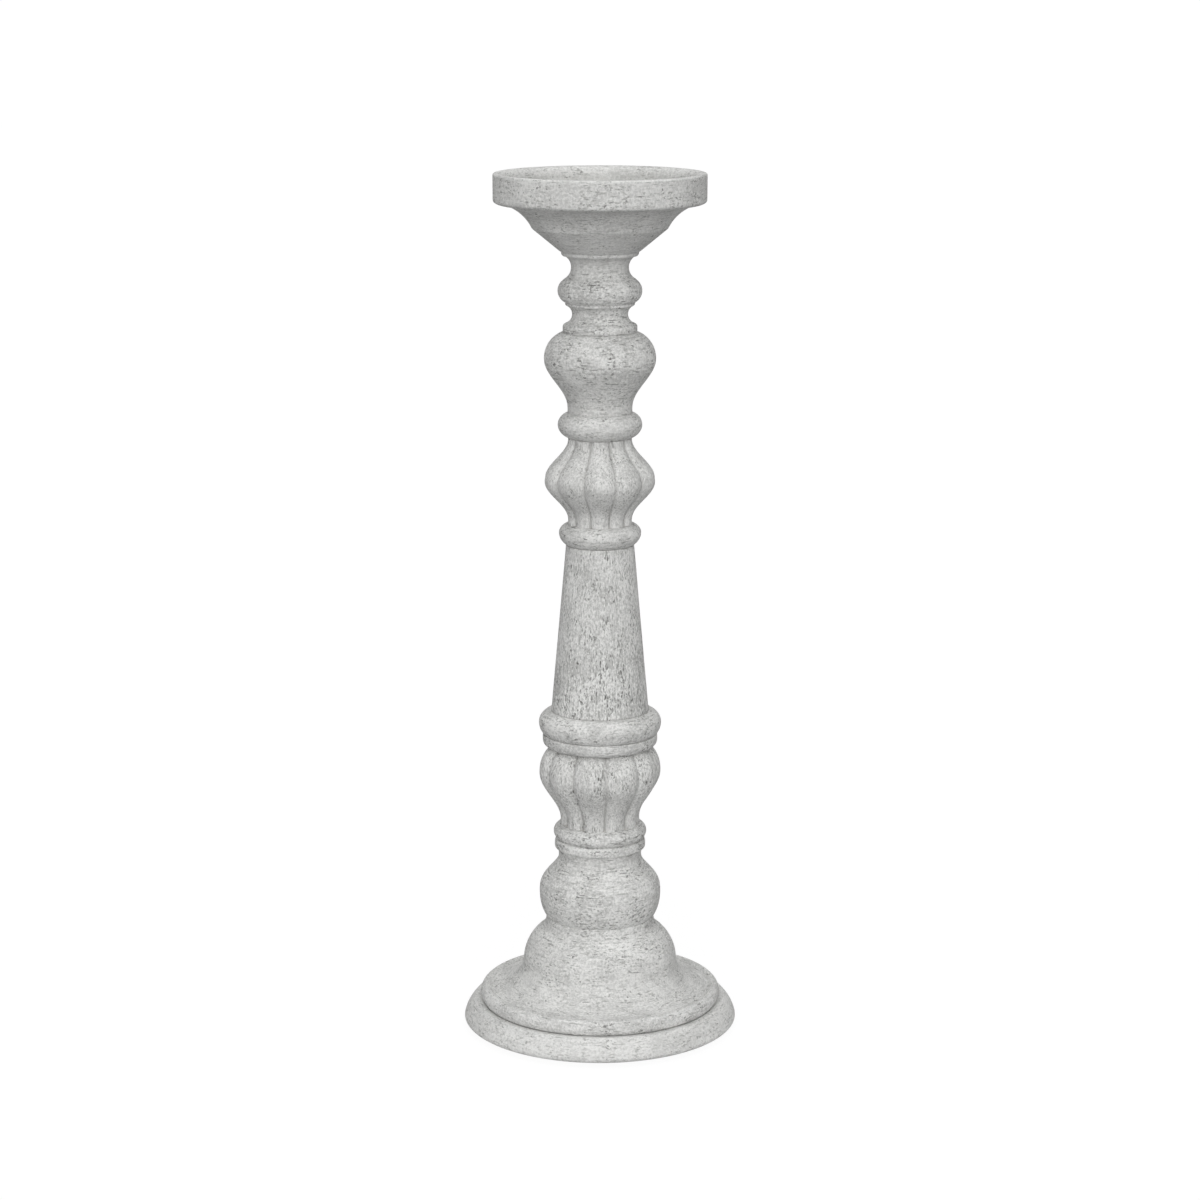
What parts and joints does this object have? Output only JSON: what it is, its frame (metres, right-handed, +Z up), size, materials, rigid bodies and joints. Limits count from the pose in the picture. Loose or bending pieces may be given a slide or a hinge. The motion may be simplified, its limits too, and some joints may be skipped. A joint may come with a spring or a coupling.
{
  "type": "turned wooden candlestick",
  "caption": "Tall free-standing candlestick of stacked turned sections with ribbed swellings, a shallow dish on top for a pillar candle and a stepped round base.",
  "frame": {"origin": "centre of the base on the surface it stands on, at the undersides of the felt pads", "axes": "+Z up along the turning axis; -Y is the front"},
  "size_m": [0.1468, 0.1468, 0.458],
  "materials": {
    "washed_wood": "light wood, limed grey-white, pores left darker, matt",
    "plug_wood": "limed wood, thinly coated, matt",
    "zinc_steel": "bright zinc plating",
    "felt": "dense wool felt, self-adhesive"
  },
  "bodies": {
    "root": {"felt_pads": "felt", "plinth": "washed_wood", "base": "washed_wood", "ball": "washed_wood", "collar": "washed_wood", "lower_melon": "washed_wood", "band": "washed_wood", "torus": "washed_wood", "column": "washed_wood", "cap_ring": "washed_wood", "upper_melon": "washed_wood", "vase_ring": "washed_wood", "vase": "washed_wood", "spindle": "washed_wood", "bell": "washed_wood", "dish": "washed_wood", "tie_rod": "zinc_steel", "foot_washer": "zinc_steel", "foot_nut": "zinc_steel", "head_washer": "zinc_steel", "head_nut": "zinc_steel", "cover_plug": "plug_wood"}
  },
  "joints": []
}
